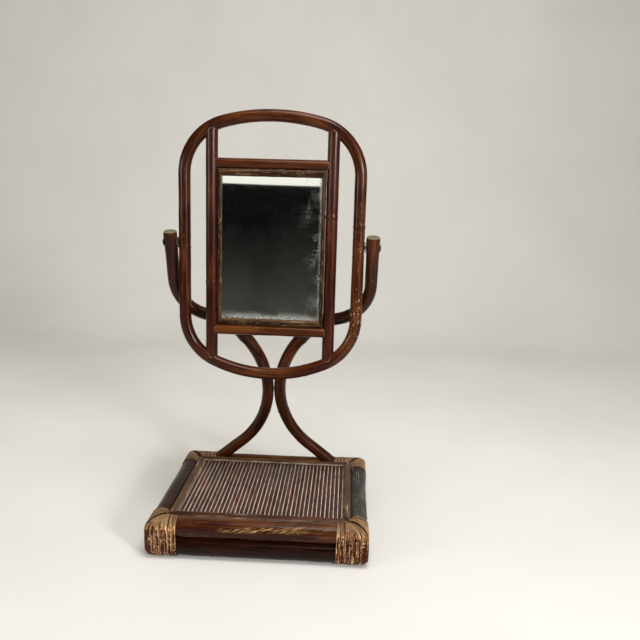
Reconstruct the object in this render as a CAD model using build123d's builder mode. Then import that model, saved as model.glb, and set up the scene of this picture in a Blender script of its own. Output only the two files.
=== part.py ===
from build123d import *
from math import acos, atan2, cos, degrees, pi, radians, sin, sqrt, tan
import os

# A rattan table mirror: a mirror frame swings between the arms of a bent yoke,
# the yoke stands on two bent legs, and the legs on the rear of a low square tray.
# Millimetres, +Z up, +X right, -Y towards the user. The origin is on the table,
# under the middle of the tray.

# Tray: two rings of poles, one on the other, mitred at the corners
tray_width = 250.0
tray_depth = 204.0
pole_diameter = 22.5

# Split cane wound round the tray's corners
strip_width = 4.2
strip_thickness = 1.4
strip_spacing = 0.55
strip_lift = 0.15
resting_flat = 0.5
mitre_gap = 0.25
front_wrap_length = 35.0
rear_wrap_length = 43.0
side_front_wrap_length = 31.0
side_rear_wrap_length = 37.0

# Reeded panel inside the tray
panel_thickness = 3.0
panel_clearance = 0.3
reed_pitch = 5.0
reed_width = 4.8
reed_height = 2.5
reed_count = 40
reed_crest_below_pole_top = 4.1
trim_width = 9.0
trim_height = 4.2
half_round_edge = 0.5
cleat_width = 8.0
cleat_height = 8.0

# Stand: two bent legs and a bent yoke in one plane that leans forward
stand_lean = 14.0
leg_diameter = 15.5
leg_lower_radius = 115.0
leg_upper_radius = 120.0
leg_foot_slope = 42.0
leg_touch_height = 122.0
leg_touch_gap = 0.2
yoke_diameter = 15.5
yoke_bar_height = 220.0
yoke_bar_bow_radius = 430.0
yoke_corner_radius = 48.0
yoke_tip_diameter = 17.0
yoke_tip_above_pivot = 13.0
yoke_flare_length = 30.0
yoke_tip_rim = 0.8

# Mirror frame, in a plane that leans back a little at rest
pivot_height = 322.0
mirror_tilt = 2.0
loop_diameter = 14.5
loop_half_width = 103.5
loop_top = 148.2
loop_bottom = 157.5
loop_top_crown_radius = 220.0
loop_bottom_crown_radius = 165.0
loop_corner_radius = 62.0
post_diameter = 14.5
rail_diameter = 12.5
glass_width = 127.0
glass_height = 184.0
glass_thickness = 3.0
glass_side_clearance = 0.25
glass_end_clearance = 0.3
glass_centre_below_pivot = 5.25
side_rebate = 5.0
end_rebate = 8.0
backing_thickness = 3.0
moulding_height = 4.2
moulding_clearance = 0.1

# Pivots
bolt_diameter = 4.0
bolt_depth_in_loop = 11.0
bolt_head_diameter = 9.5
bolt_head_height = 2.4
bolt_seat_depth = 1.0
running_clearance = 0.05
pivot_gap = 0.3
washer_thickness = 1.0
washer_diameter = 12.0

# Nails and dowels
seat_clearance = 0.1
dowel_diameter = 4.0
dowel_clearance = 0.05
foot_dowel_length = 20.0
foot_dowel_in_pole = 14.0
leg_dowel_length = 20.0
yoke_dowel_length = 19.0
dowel_past_axis = 4.0
post_dowel_length = 18.0
rail_dowel_length = 18.0
frame_dowel_diameter = 3.0
corner_nail_diameter = 2.6
corner_nail_length = 46.0
corner_nail_head_diameter = 5.0
corner_nail_head_height = 1.2
nail_head_depth = 1.5
brad_diameter = 1.4
brad_length = 12.0
brad_in_frame = 6.0

# Worked out from the sizes above
pole_radius = pole_diameter / 2
half_width = tray_width / 2
half_depth = tray_depth / 2
strip_path_radius = pole_radius + strip_lift + strip_thickness / 2
lower_axis = strip_path_radius + strip_thickness / 2 - resting_flat
upper_axis = lower_axis + pole_diameter
pole_top = upper_axis + pole_radius
pole_x = half_width - pole_radius
pole_y = half_depth - pole_radius
inner_half_width = half_width - pole_diameter
inner_half_depth = half_depth - pole_diameter

leg_radius = leg_diameter / 2
yoke_radius = yoke_diameter / 2
loop_radius = loop_diameter / 2
post_radius = post_diameter / 2
rail_radius = rail_diameter / 2

# The stand's plane rises from the axis of the upper rear pole and leans forward.
# Its local x is the object's X, its local y runs up the stand, its z faces the user.
lean = radians(stand_lean)
stand_plane = Plane(origin=(0, pole_y, upper_axis), x_dir=(1, 0, 0), z_dir=(0, -cos(lean), -sin(lean)))
pivot_point = stand_plane.from_local_coords((0, pivot_height, 0))
tilt = radians(mirror_tilt)
mirror_plane = Plane(origin=pivot_point, x_dir=(1, 0, 0), z_dir=(0, -cos(tilt), sin(tilt)))

os.makedirs("parts", exist_ok=True)


def finish(builder, label):
    """Name a finished piece and write it."""
    builder.part.label = label
    export_step(builder.part, f"parts/{label}.step")


def drill(hole_plane, radius, depth):
    """A round blind hole, square to a plane."""
    with BuildSketch(hole_plane) as hole:
        Circle(radius)
    extrude(hole.sketch, amount=depth, mode=Mode.SUBTRACT)


def pin(pin_plane, radius, length):
    """A round pin, square to a plane."""
    with BuildSketch(pin_plane) as end:
        Circle(radius)
    extrude(end.sketch, amount=length)


def shoulder(half_span, crown_height, crown_radius, corner_radius):
    """A wide crown arc runs into a tighter corner arc that ends upright at half_span.

    Returns the height of the corner's centre and the angle that the crown turns."""
    side = half_span - corner_radius
    spread = crown_radius - corner_radius
    drop = sqrt(spread ** 2 - side ** 2)
    return crown_height - crown_radius + drop, degrees(atan2(side, drop))


# Tray poles. Each is a full-length pole with both ends cut to the corner mitres.
tray_sides = {
    "front": (Plane((0, -pole_y, 0), x_dir=(1, 0, 0), z_dir=(0, 0, 1)), half_width),
    "rear": (Plane((0, pole_y, 0), x_dir=(-1, 0, 0), z_dir=(0, 0, 1)), half_width),
    "left": (Plane((-pole_x, 0, 0), x_dir=(0, -1, 0), z_dir=(0, 0, 1)), half_depth),
    "right": (Plane((pole_x, 0, 0), x_dir=(0, 1, 0), z_dir=(0, 0, 1)), half_depth),
}
pole_levels = {"lower": lower_axis, "upper": upper_axis}


def mitred_slab(side_plane, half_length, reach, height):
    """A flat slab over one side of the tray, its ends on the corner mitres."""
    outer = -reach
    inner = reach
    with BuildPart() as slab:
        with BuildSketch(side_plane):
            with BuildLine():
                Polyline(
                    (-half_length + pole_radius + outer, outer),
                    (half_length - pole_radius - outer, outer),
                    (half_length - pole_radius - inner, inner),
                    (-half_length + pole_radius + inner, inner),
                    close=True,
                )
            make_face()
        extrude(amount=height)
    return slab.part


def nail_planes(height):
    """Nails go in from the front and the rear face, along the side poles."""
    return [
        Plane((sign_x * pole_x, sign_y * half_depth, height), z_dir=(0, -sign_y, 0))
        for sign_x in (-1, 1)
        for sign_y in (-1, 1)
    ]


leg_lower_turn = 90 - leg_foot_slope
touch_x = leg_radius + leg_touch_gap / 2
bend_end_x = touch_x + leg_lower_radius * (1 - cos(radians(leg_lower_turn)))
bend_end_height = leg_touch_height - leg_lower_radius * sin(radians(leg_lower_turn))
foot_slope = tan(radians(leg_foot_slope))
foot_end_x = bend_end_x + bend_end_height / foot_slope
foot_dowel_x = foot_end_x - pole_radius / foot_slope


def foot_dowel_plane(sign):
    """A dowel stands in the upper rear pole and goes up into the leg's foot."""
    bottom = stand_plane.from_local_coords((sign * foot_dowel_x, pole_radius - foot_dowel_in_pole, 0))
    return Plane(origin=bottom, x_dir=(1, 0, 0), z_dir=stand_plane.y_dir)


for side, (side_plane, half_length) in tray_sides.items():
    for level, height in pole_levels.items():
        mitres = mitred_slab(side_plane, half_length, pole_radius, pole_top)
        end_point = side_plane.from_local_coords((-half_length, 0, height))
        with BuildPart() as tray_pole:
            with BuildSketch(Plane(origin=end_point, z_dir=side_plane.x_dir)):
                Circle(pole_radius)
            extrude(amount=2 * half_length)
            add(mitres, mode=Mode.INTERSECT)
            for nail_plane in nail_planes(height):
                drill(nail_plane, corner_nail_diameter / 2 + dowel_clearance, corner_nail_length)
                drill(nail_plane, corner_nail_head_diameter / 2 + dowel_clearance, nail_head_depth)
            if side == "rear" and level == "upper":
                for sign in (-1, 1):
                    drill(foot_dowel_plane(sign), dowel_diameter / 2 + dowel_clearance, foot_dowel_length)
        finish(tray_pole, f"tray_{side}_{level}_pole")

with BuildPart() as corner_nails:
    for height in pole_levels.values():
        for nail_plane in nail_planes(height):
            pin(nail_plane.offset(nail_head_depth - corner_nail_head_height),
                corner_nail_diameter / 2, corner_nail_length - nail_head_depth)
            pin(nail_plane.offset(nail_head_depth - corner_nail_head_height),
                corner_nail_head_diameter / 2, corner_nail_head_height)
finish(corner_nails, "corner_nails")

# Corner wraps. On each arm of a corner one long strip winds round both poles: half
# a turn under them, up the outer side, half a turn over them, down the inner side.
# It moves along by half a pitch on each side. Past the crotch of the corner its laps
# end on the mitre, and it is cut flat where the tray rests on it.
strip_pitch = strip_width + strip_spacing
strip_outer_radius = strip_path_radius + strip_thickness / 2


def wind_arm(corner, along, outward, length):
    """One strip round both poles of an arm, from its free end to the corner's mitre."""
    turns = int(length / strip_pitch) + 1
    axis_point = corner + outward * -pole_radius

    def place(laps, side, height):
        run = length - strip_width / 2 - strip_pitch * laps
        return axis_point + along * run + outward * (side * strip_path_radius) + Vector(0, 0, height)

    def side_run(start, end, heading):
        middle = (start + end) * 0.5
        first = TangentArc(start, middle, tangent=heading)
        TangentArc(middle, end, tangent=first % 1)

    down = Vector(0, 0, -1)
    up = Vector(0, 0, 1)
    with BuildPart() as winding:
        with BuildLine() as strip_path:
            for lap in range(turns):
                inner_low = place(lap + 0.5, -1, lower_axis)
                outer_low = place(lap + 0.5, 1, lower_axis)
                outer_high = place(lap + 1, 1, upper_axis)
                inner_high = place(lap + 1, -1, upper_axis)
                side_run(place(lap, -1, upper_axis), inner_low, down)
                TangentArc(inner_low, outer_low, tangent=down)
                side_run(outer_low, outer_high, up)
                TangentArc(outer_high, inner_high, tangent=up)
        path_wire = strip_path.wires()[0]
        with BuildSketch(Plane(origin=place(0, -1, upper_axis), x_dir=along, z_dir=down)):
            Rectangle(strip_width, strip_thickness)
        sweep(path=path_wire)
        mitre_normal = (along + outward).normalized()
        split(bisect_by=Plane(origin=corner + mitre_normal * mitre_gap, z_dir=mitre_normal), keep=Keep.TOP)
        split(bisect_by=Plane.XY, keep=Keep.TOP)
    print(f"strip of {turns} turns, least gap to itself {least_gap(path_wire, turns):.2f} mm")
    return winding.part


def wrap_clearance(corner, along, outward, length):
    """The space that a wrapped arm takes, with room to spare, for the panel's notches."""
    start = corner + outward * -pole_radius + Vector(0, 0, (lower_axis + upper_axis) / 2)
    with BuildPart() as space:
        with BuildSketch(Plane(origin=start, x_dir=(0, 0, 1), z_dir=along)):
            SlotCenterToCenter(upper_axis - lower_axis, 2 * (strip_outer_radius + panel_clearance))
        extrude(amount=length + panel_clearance)
    return space.part


def least_gap(path_wire, turns):
    """Least clear distance between neighbouring laps, measured on points of the path."""
    per_lap = 240
    reach = 12
    count = per_lap * turns
    points = [path_wire.position_at(i / count) for i in range(count + 1)]
    nearest = min(
        (points[i] - points[j]).length
        for i in range(count - per_lap - reach)
        for j in range(i + per_lap - reach, i + per_lap + reach)
    )
    return nearest - strip_width


corner_arms = {
    "front": (-1, front_wrap_length, side_front_wrap_length),
    "rear": (1, rear_wrap_length, side_rear_wrap_length),
}
wrap_spaces = []
for end, (sign_y, length_x, length_y) in corner_arms.items():
    corner = Vector(-half_width, sign_y * half_depth, 0)
    across_arm = (corner, Vector(1, 0, 0), Vector(0, sign_y, 0), length_x)
    side_arm = (corner, Vector(0, -sign_y, 0), Vector(-1, 0, 0), length_y)
    windings = [wind_arm(*across_arm), wind_arm(*side_arm)]
    wrap_spaces += [wrap_clearance(*across_arm), wrap_clearance(*side_arm)]
    with BuildPart() as left_wrap:
        add(windings)
    finish(left_wrap, f"corner_wrap_{end}_left")
    with BuildPart() as right_wrap:
        mirror(left_wrap.part, about=Plane.YZ)
    finish(right_wrap, f"corner_wrap_{end}_right")
wrap_spaces += [mirror(space, about=Plane.YZ) for space in wrap_spaces]

# Reeded panel: a thin board on two cleats, covered with half-round reeds that
# run front to back, and four mitred half-round trims over the joint to the poles
reed_crest = pole_top - reed_crest_below_pole_top
board_top = reed_crest - reed_height
board_bottom = board_top - panel_thickness


def pole_face(height):
    """How far the upper pole's inner face lies from the tray's outer edge at a height."""
    return pole_radius + sqrt(pole_radius ** 2 - (height - upper_axis) ** 2)


board_inset = pole_face(max(board_bottom, min(upper_axis, board_top))) + panel_clearance
board_half_width = half_width - board_inset
board_half_depth = half_depth - board_inset
with BuildPart() as panel_board:
    with BuildSketch(Plane.XY.offset(board_bottom)):
        Rectangle(2 * board_half_width, 2 * board_half_depth)
    extrude(amount=panel_thickness)
    add(wrap_spaces, mode=Mode.SUBTRACT)
finish(panel_board, "panel_board")

with BuildPart() as panel_reeds:
    reed_plane = Plane(origin=(0, -board_half_depth, board_top), x_dir=(1, 0, 0), z_dir=(0, 1, 0))
    with BuildSketch(reed_plane):
        for reed in range(reed_count):
            middle = (reed - (reed_count - 1) / 2) * reed_pitch
            with BuildLine():
                base = Line((middle - reed_width / 2, 0), (middle + reed_width / 2, 0))
                ThreePointArc(base @ 0, (middle, -reed_height), base @ 1)
            make_face()
    extrude(amount=2 * board_half_depth)
    add(wrap_spaces, mode=Mode.SUBTRACT)
finish(panel_reeds, "panel_reeds")

cleat_plane = Plane.XY.offset(board_bottom - cleat_height)
with BuildPart() as panel_cleats:
    cleat_inset = pole_diameter + panel_clearance
    cleat_x = half_width - cleat_inset - cleat_width / 2
    with BuildSketch(cleat_plane):
        with Locations((-cleat_x, 0), (cleat_x, 0)):
            Rectangle(cleat_width, 2 * (half_depth - cleat_inset))
    extrude(amount=cleat_height)
    add(wrap_spaces, mode=Mode.SUBTRACT)
finish(panel_cleats, "panel_cleats")

trim_bottom = reed_crest + seat_clearance
trim_inset = pole_face(trim_bottom) + panel_clearance


def half_round_strip(length, width, height):
    """A straight half-round strip about the origin, flat side down, along X."""
    edge = max(half_round_edge, height - width / 2)
    with BuildPart() as strip:
        with BuildSketch(Plane.YZ.offset(-length / 2)):
            with BuildLine():
                Polyline((-width / 2, edge), (-width / 2, 0), (width / 2, 0), (width / 2, edge))
                ThreePointArc((-width / 2, edge), (0, height), (width / 2, edge))
            make_face()
        extrude(amount=length)
    return strip.part


def mitred_trim(strip_plane, length, width_here, width_there, height):
    """A half-round strip on a plane, cut at both ends to the mitre of unequal widths."""
    strip = half_round_strip(length, width_here, height)
    with BuildPart() as trim:
        add(strip_plane * strip)
        with BuildSketch(strip_plane):
            with BuildLine():
                Polyline(
                    (-length / 2, -width_here / 2),
                    (length / 2, -width_here / 2),
                    (length / 2 - width_there, width_here / 2),
                    (-length / 2 + width_there, width_here / 2),
                    close=True,
                )
            make_face()
        extrude(amount=height, mode=Mode.INTERSECT)
    return trim.part


# Yoke: one pole bent into a wide U, its arms upright, their tips swollen and sawn flat
flare_at_pivot = (yoke_flare_length - yoke_tip_above_pivot) / yoke_flare_length
arm_radius_at_pivot = yoke_radius + (yoke_tip_diameter / 2 - yoke_radius) * flare_at_pivot
loop_side = loop_half_width + loop_radius
yoke_half_width = loop_side + 2 * pivot_gap + washer_thickness + arm_radius_at_pivot
yoke_tip = pivot_height + yoke_tip_above_pivot
yoke_corner_height, yoke_bar_turn = shoulder(
    yoke_half_width, -yoke_bar_height, yoke_bar_bow_radius, yoke_corner_radius
)


def yoke_tube(radius):
    """The bent pole of the yoke, as thick as asked."""
    with BuildPart() as tube:
        with BuildLine(stand_plane) as yoke_path:
            bar = JernArc((0, yoke_bar_height), (1, 0), yoke_bar_bow_radius, yoke_bar_turn)
            corner = JernArc(bar @ 1, bar % 1, yoke_corner_radius, 90 - yoke_bar_turn)
            Line((yoke_half_width, -yoke_corner_height), (yoke_half_width, yoke_tip))
            mirror(about=Plane.YZ)
        start = stand_plane.from_local_coords((yoke_half_width, yoke_tip, 0))
        with BuildSketch(Plane(origin=start, x_dir=(1, 0, 0), z_dir=-stand_plane.y_dir)):
            Circle(radius)
        sweep(path=yoke_path.wires()[0])
    return tube.part


yoke_space = yoke_tube(yoke_radius + seat_clearance)


def bolt_station(sign, distance):
    """A plane square to the pivot axis, facing outwards, at a distance from the middle."""
    return Plane(origin=pivot_point + Vector(sign * distance, 0, 0), x_dir=(0, 1, 0), z_dir=(sign, 0, 0))


# Legs: two poles bent like brackets, back to back, coped to the tray and the yoke
bow_centre_height = yoke_bar_height + yoke_bar_bow_radius
to_bow_centre = Vector(-touch_x - leg_upper_radius, bow_centre_height - leg_touch_height)
meeting_angle = acos(
    (leg_upper_radius ** 2 + to_bow_centre.length ** 2 - yoke_bar_bow_radius ** 2)
    / (2 * leg_upper_radius * to_bow_centre.length)
)
leg_upper_turn = 180 - degrees(atan2(to_bow_centre.Y, to_bow_centre.X) + meeting_angle)
leg_top_x = touch_x + leg_upper_radius * (1 - cos(radians(leg_upper_turn)))
leg_top_height = leg_touch_height + leg_upper_radius * sin(radians(leg_upper_turn))


def yoke_dowel_plane(sign):
    """A dowel runs from the leg's top into the bar of the yoke."""
    heading = stand_plane.from_local_coords(
        (sign * sin(radians(leg_upper_turn)), cos(radians(leg_upper_turn)), 0)
    ) - stand_plane.origin
    top = stand_plane.from_local_coords((sign * leg_top_x, leg_top_height, 0))
    return Plane(origin=top + heading * dowel_past_axis, z_dir=-heading)


leg_dowel_plane = Plane(
    origin=stand_plane.from_local_coords((-leg_dowel_length / 2, leg_touch_height, 0)), z_dir=(1, 0, 0)
)


def leg_tube(sign, radius):
    """The bent pole of one leg, as thick as asked, with its ends inside the tray and the yoke."""
    with BuildPart() as tube:
        with BuildLine(stand_plane) as leg_path:
            touch = (sign * touch_x, leg_touch_height)
            JernArc(touch, (0, 1), leg_upper_radius, -sign * leg_upper_turn)
            lower = JernArc(touch, (0, -1), leg_lower_radius, sign * leg_lower_turn)
            Line(lower @ 1, stand_plane.from_local_coords((sign * foot_end_x, 0, 0)))
        leg_wire = leg_path.wires()[0]
        with BuildSketch(Plane(origin=leg_wire @ 0, z_dir=leg_wire % 0)):
            Circle(radius)
        sweep(path=leg_wire)
    return tube.part


leg_spaces = [leg_tube(sign, leg_radius + seat_clearance) for sign in (-1, 1)]
for sign, hand in ((-1, "left"), (1, "right")):
    leg_pole = leg_tube(sign, leg_radius)
    with BuildPart() as leg:
        add(leg_pole)
        drill(Plane(origin=(-half_width, pole_y, upper_axis), z_dir=(1, 0, 0)),
              pole_radius + seat_clearance, tray_width)
        add(yoke_space, mode=Mode.SUBTRACT)
        drill(foot_dowel_plane(sign), dowel_diameter / 2 + dowel_clearance, foot_dowel_length)
        drill(yoke_dowel_plane(sign), dowel_diameter / 2 + dowel_clearance, yoke_dowel_length)
        drill(leg_dowel_plane, dowel_diameter / 2 + dowel_clearance, leg_dowel_length)
    finish(leg, f"leg_{hand}")

with BuildPart() as foot_dowels:
    for sign in (-1, 1):
        pin(foot_dowel_plane(sign), dowel_diameter / 2, foot_dowel_length)
finish(foot_dowels, "foot_dowels")

with BuildPart() as leg_dowel:
    pin(leg_dowel_plane, dowel_diameter / 2, leg_dowel_length)
finish(leg_dowel, "leg_dowel")

with BuildPart() as yoke_dowels:
    for sign in (-1, 1):
        pin(yoke_dowel_plane(sign), dowel_diameter / 2, yoke_dowel_length)
finish(yoke_dowels, "yoke_dowels")

# Half-round trims round the reeds, notched for the corner wraps and coped to the legs
trim_x = half_width - trim_inset - trim_width / 2
trim_y = half_depth - trim_inset - trim_width / 2
trim_spans = {
    "front": (Plane((0, -trim_y, trim_bottom), x_dir=(1, 0, 0), z_dir=(0, 0, 1)), trim_x),
    "rear": (Plane((0, trim_y, trim_bottom), x_dir=(-1, 0, 0), z_dir=(0, 0, 1)), trim_x),
    "left": (Plane((-trim_x, 0, trim_bottom), x_dir=(0, -1, 0), z_dir=(0, 0, 1)), trim_y),
    "right": (Plane((trim_x, 0, trim_bottom), x_dir=(0, 1, 0), z_dir=(0, 0, 1)), trim_y),
}
for side, (strip_plane, reach) in trim_spans.items():
    strip = mitred_trim(strip_plane, 2 * reach + trim_width, trim_width, trim_width, trim_height)
    with BuildPart() as panel_trim:
        add(strip)
        add(wrap_spaces, mode=Mode.SUBTRACT)
        if side == "rear":
            add(leg_spaces, mode=Mode.SUBTRACT)
    finish(panel_trim, f"panel_trim_{side}")

bolt_seat = yoke_half_width + arm_radius_at_pivot - bolt_seat_depth
yoke_pole = yoke_tube(yoke_radius)
with BuildPart() as yoke:
    add(yoke_pole)
    for sign in (-1, 1):
        arm_foot = stand_plane.from_local_coords((sign * yoke_half_width, yoke_tip - yoke_flare_length, 0))
        flare_plane = Plane(origin=arm_foot, x_dir=(1, 0, 0), z_dir=stand_plane.z_dir)
        with BuildSketch(flare_plane):
            Polygon(
                (0, 0),
                (yoke_radius, 0),
                (yoke_tip_diameter / 2, yoke_flare_length - yoke_tip_rim),
                (yoke_tip_diameter / 2 - yoke_tip_rim, yoke_flare_length),
                (0, yoke_flare_length),
                align=None,
            )
        revolve(axis=Axis(arm_foot, stand_plane.y_dir))
        drill(bolt_station(sign, loop_side), bolt_diameter / 2 + running_clearance, yoke_half_width)
        drill(bolt_station(sign, bolt_seat), bolt_head_diameter / 2 + pivot_gap, pole_diameter)
        drill(yoke_dowel_plane(sign), dowel_diameter / 2 + dowel_clearance, yoke_dowel_length)
finish(yoke, "yoke")

# Mirror frame: a closed loop of bent pole, two posts and two rails coped inside it
post_x = glass_width / 2 + glass_side_clearance + post_radius
glass_top = glass_height / 2 - glass_centre_below_pivot
glass_bottom = -glass_height / 2 - glass_centre_below_pivot
rail_heights = {
    "upper": glass_top + glass_end_clearance + rail_radius,
    "lower": glass_bottom - glass_end_clearance - rail_radius,
}


def loop_tube(radius):
    """The closed loop, as thick as asked: crowned top and bottom, upright sides."""
    top_centre, top_turn = shoulder(loop_half_width, loop_top, loop_top_crown_radius, loop_corner_radius)
    low_centre, low_turn = shoulder(
        loop_half_width, loop_bottom, loop_bottom_crown_radius, loop_corner_radius
    )
    with BuildPart() as tube:
        with BuildLine(mirror_plane) as loop_path:
            crown = JernArc((0, loop_top), (1, 0), loop_top_crown_radius, -top_turn)
            JernArc(crown @ 1, crown % 1, loop_corner_radius, top_turn - 90)
            Line((loop_half_width, top_centre), (loop_half_width, -low_centre))
            base = JernArc((0, -loop_bottom), (1, 0), loop_bottom_crown_radius, low_turn)
            JernArc(base @ 1, base % 1, loop_corner_radius, 90 - low_turn)
            mirror(about=Plane.YZ)
        crown_point = mirror_plane.from_local_coords((0, loop_top, 0))
        with BuildSketch(Plane(origin=crown_point, x_dir=mirror_plane.y_dir, z_dir=(1, 0, 0))):
            Circle(radius)
        sweep(path=loop_path.wires()[0])
    return tube.part


def loop_height(x, crown_height, crown_radius):
    """Height of the loop's centreline above or below the pivot at a distance from the middle."""
    corner_height, turn = shoulder(loop_half_width, crown_height, crown_radius, loop_corner_radius)
    if x < crown_radius * sin(radians(turn)):
        return crown_height - crown_radius + sqrt(crown_radius ** 2 - x ** 2)
    side = loop_half_width - loop_corner_radius
    return corner_height + sqrt(loop_corner_radius ** 2 - (x - side) ** 2)


post_top = loop_height(post_x, loop_top, loop_top_crown_radius)
post_bottom = -loop_height(post_x, loop_bottom, loop_bottom_crown_radius)
frame_dowel_radius = frame_dowel_diameter / 2


def frame_point(x, height, front=0):
    """A point of the mirror frame: across, up from the pivot, and towards the user."""
    return mirror_plane.from_local_coords((x, height, front))


post_dowel_planes = [
    Plane(origin=frame_point(sign * post_x, end + past), x_dir=(1, 0, 0), z_dir=mirror_plane.y_dir * way)
    for sign in (-1, 1)
    for end, past, way in ((post_top, dowel_past_axis, -1), (post_bottom, -dowel_past_axis, 1))
]
rail_dowel_planes = [
    Plane(origin=frame_point(sign * (post_x + dowel_past_axis), height), z_dir=(-sign, 0, 0))
    for sign in (-1, 1)
    for height in rail_heights.values()
]


def drill_frame_dowels(planes, length):
    """Holes for the dowels of the mirror frame's joints."""
    for dowel_plane in planes:
        drill(dowel_plane, frame_dowel_radius + dowel_clearance, length)


bolt_end = loop_side - bolt_depth_in_loop
loop_pole = loop_tube(loop_radius)
with BuildPart() as mirror_loop:
    add(loop_pole)
    drill_frame_dowels(post_dowel_planes, post_dowel_length)
    for sign in (-1, 1):
        drill(bolt_station(sign, bolt_end), bolt_diameter / 2 + dowel_clearance, loop_diameter)
finish(mirror_loop, "mirror_loop")

loop_space = loop_tube(loop_radius + seat_clearance)
back_face = glass_thickness / 2 + seat_clearance + backing_thickness
brad_back = back_face + brad_diameter / 2 + seat_clearance
post_face = post_x - sqrt(post_radius ** 2 - brad_back ** 2)
rail_face = sqrt(rail_radius ** 2 - brad_back ** 2)
brad_spread = glass_height / 3
brad_spots = [
    (sign * (post_face + brad_in_frame), row * brad_spread - glass_centre_below_pivot, (-sign, 0))
    for sign in (-1, 1)
    for row in (-1, 0, 1)
]
brad_spots += [
    (column * glass_width / 4, height - way * (rail_face - brad_in_frame), (0, -way))
    for column in (-1, 1)
    for height, way in ((rail_heights["upper"], 1), (rail_heights["lower"], -1))
]


def brad_planes():
    """Each brad starts inside the frame and points over the edge of the backing."""
    planes = []
    for x, height, (across, up) in brad_spots:
        direction = Vector(across, 0, 0) + mirror_plane.y_dir * up
        planes.append(Plane(origin=frame_point(x, height, -brad_back), z_dir=direction))
    return planes


def drill_brads():
    """Tight bores for the brads."""
    for brad_plane in brad_planes():
        drill(brad_plane, brad_diameter / 2 + dowel_clearance, brad_length)


for sign, hand in ((-1, "left"), (1, "right")):
    with BuildPart() as post:
        foot = frame_point(sign * post_x, post_bottom)
        with BuildSketch(Plane(origin=foot, x_dir=(1, 0, 0), z_dir=mirror_plane.y_dir)):
            Circle(post_radius)
        extrude(amount=post_top - post_bottom)
        add(loop_space, mode=Mode.SUBTRACT)
        drill_frame_dowels(post_dowel_planes, post_dowel_length)
        drill_frame_dowels(rail_dowel_planes, rail_dowel_length)
        drill_brads()
    finish(post, f"mirror_post_{hand}")

for level, height in rail_heights.items():
    with BuildPart() as rail:
        with BuildSketch(Plane(origin=frame_point(-post_x, height), z_dir=(1, 0, 0))):
            Circle(rail_radius)
        extrude(amount=2 * post_x)
        for sign in (-1, 1):
            post_foot = frame_point(sign * post_x, height - post_diameter)
            with BuildSketch(Plane(origin=post_foot, x_dir=(1, 0, 0), z_dir=mirror_plane.y_dir)):
                Circle(post_radius + seat_clearance)
            extrude(amount=2 * post_diameter, mode=Mode.SUBTRACT)
        drill_frame_dowels(rail_dowel_planes, rail_dowel_length)
        drill_brads()
    finish(rail, f"mirror_rail_{level}")

with BuildPart() as post_dowels:
    for dowel_plane in post_dowel_planes:
        pin(dowel_plane, frame_dowel_radius, post_dowel_length)
finish(post_dowels, "post_dowels")

with BuildPart() as rail_dowels:
    for dowel_plane in rail_dowel_planes:
        pin(dowel_plane, frame_dowel_radius, rail_dowel_length)
finish(rail_dowels, "rail_dowels")

with BuildPart() as backing_brads:
    for brad_plane in brad_planes():
        pin(brad_plane, brad_diameter / 2, brad_length)
finish(backing_brads, "backing_brads")

# Glass, backing board and the four mitred mouldings in front of the glass
glass_centre = frame_point(0, -glass_centre_below_pivot, -glass_thickness / 2)
with BuildPart() as glass:
    with BuildSketch(Plane(origin=glass_centre, x_dir=(1, 0, 0), z_dir=mirror_plane.z_dir)):
        Rectangle(glass_width, glass_height)
    extrude(amount=glass_thickness)
finish(glass, "mirror_glass")

backing_centre = frame_point(0, -glass_centre_below_pivot, -back_face)
with BuildPart() as backing:
    with BuildSketch(Plane(origin=backing_centre, x_dir=(1, 0, 0), z_dir=mirror_plane.z_dir)):
        Rectangle(glass_width, glass_height)
    extrude(amount=backing_thickness)
finish(backing, "backing_board")

moulding_front = glass_thickness / 2 + seat_clearance
side_width = glass_side_clearance + side_rebate - moulding_clearance
end_width = glass_end_clearance + end_rebate - moulding_clearance
moulding_half_width = glass_width / 2 - side_rebate + side_width
moulding_half_height = glass_height / 2 - end_rebate + end_width


def moulding_plane(x, height, along):
    """A plane on the glass, at the middle of one moulding, its x along the strip."""
    origin = frame_point(x, height - glass_centre_below_pivot, moulding_front)
    return Plane(origin=origin, x_dir=along, z_dir=mirror_plane.z_dir)


mouldings = {
    "upper": (0, moulding_half_height - end_width / 2, Vector(-1, 0, 0)),
    "lower": (0, -moulding_half_height + end_width / 2, Vector(1, 0, 0)),
    "left": (-moulding_half_width + side_width / 2, 0, -mirror_plane.y_dir),
    "right": (moulding_half_width - side_width / 2, 0, mirror_plane.y_dir),
}
for name, (x, height, along) in mouldings.items():
    upright = name in ("left", "right")
    here, there = (side_width, end_width) if upright else (end_width, side_width)
    strip_length = 2 * (moulding_half_height if upright else moulding_half_width)
    strip = mitred_trim(moulding_plane(x, height, along), strip_length, here, there, moulding_height)
    with BuildPart() as moulding:
        add(strip)
    finish(moulding, f"glass_moulding_{name}")

# Pivots: a bolt on each side is tight in the loop and turns in the yoke's arm
head_underside = bolt_seat + pivot_gap
for sign, hand in ((-1, "left"), (1, "right")):
    with BuildPart() as pivot_bolt:
        pin(bolt_station(sign, bolt_end), bolt_diameter / 2, head_underside - bolt_end)
        head_plane = Plane(
            origin=pivot_point + Vector(sign * head_underside, 0, 0), x_dir=(sign, 0, 0), z_dir=(0, 0, 1)
        )
        with BuildSketch(head_plane):
            with BuildLine():
                axis_side = Line((0, 0), (bolt_head_height, 0))
                rim = Line((0, bolt_head_diameter / 2), (bolt_head_height / 3, bolt_head_diameter / 2))
                TangentArc(axis_side @ 1, rim @ 1, tangent=(0, 1))
                Line(axis_side @ 0, rim @ 0)
            make_face()
        revolve(axis=Axis(pivot_point, (1, 0, 0)))
    finish(pivot_bolt, f"pivot_bolt_{hand}")

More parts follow.
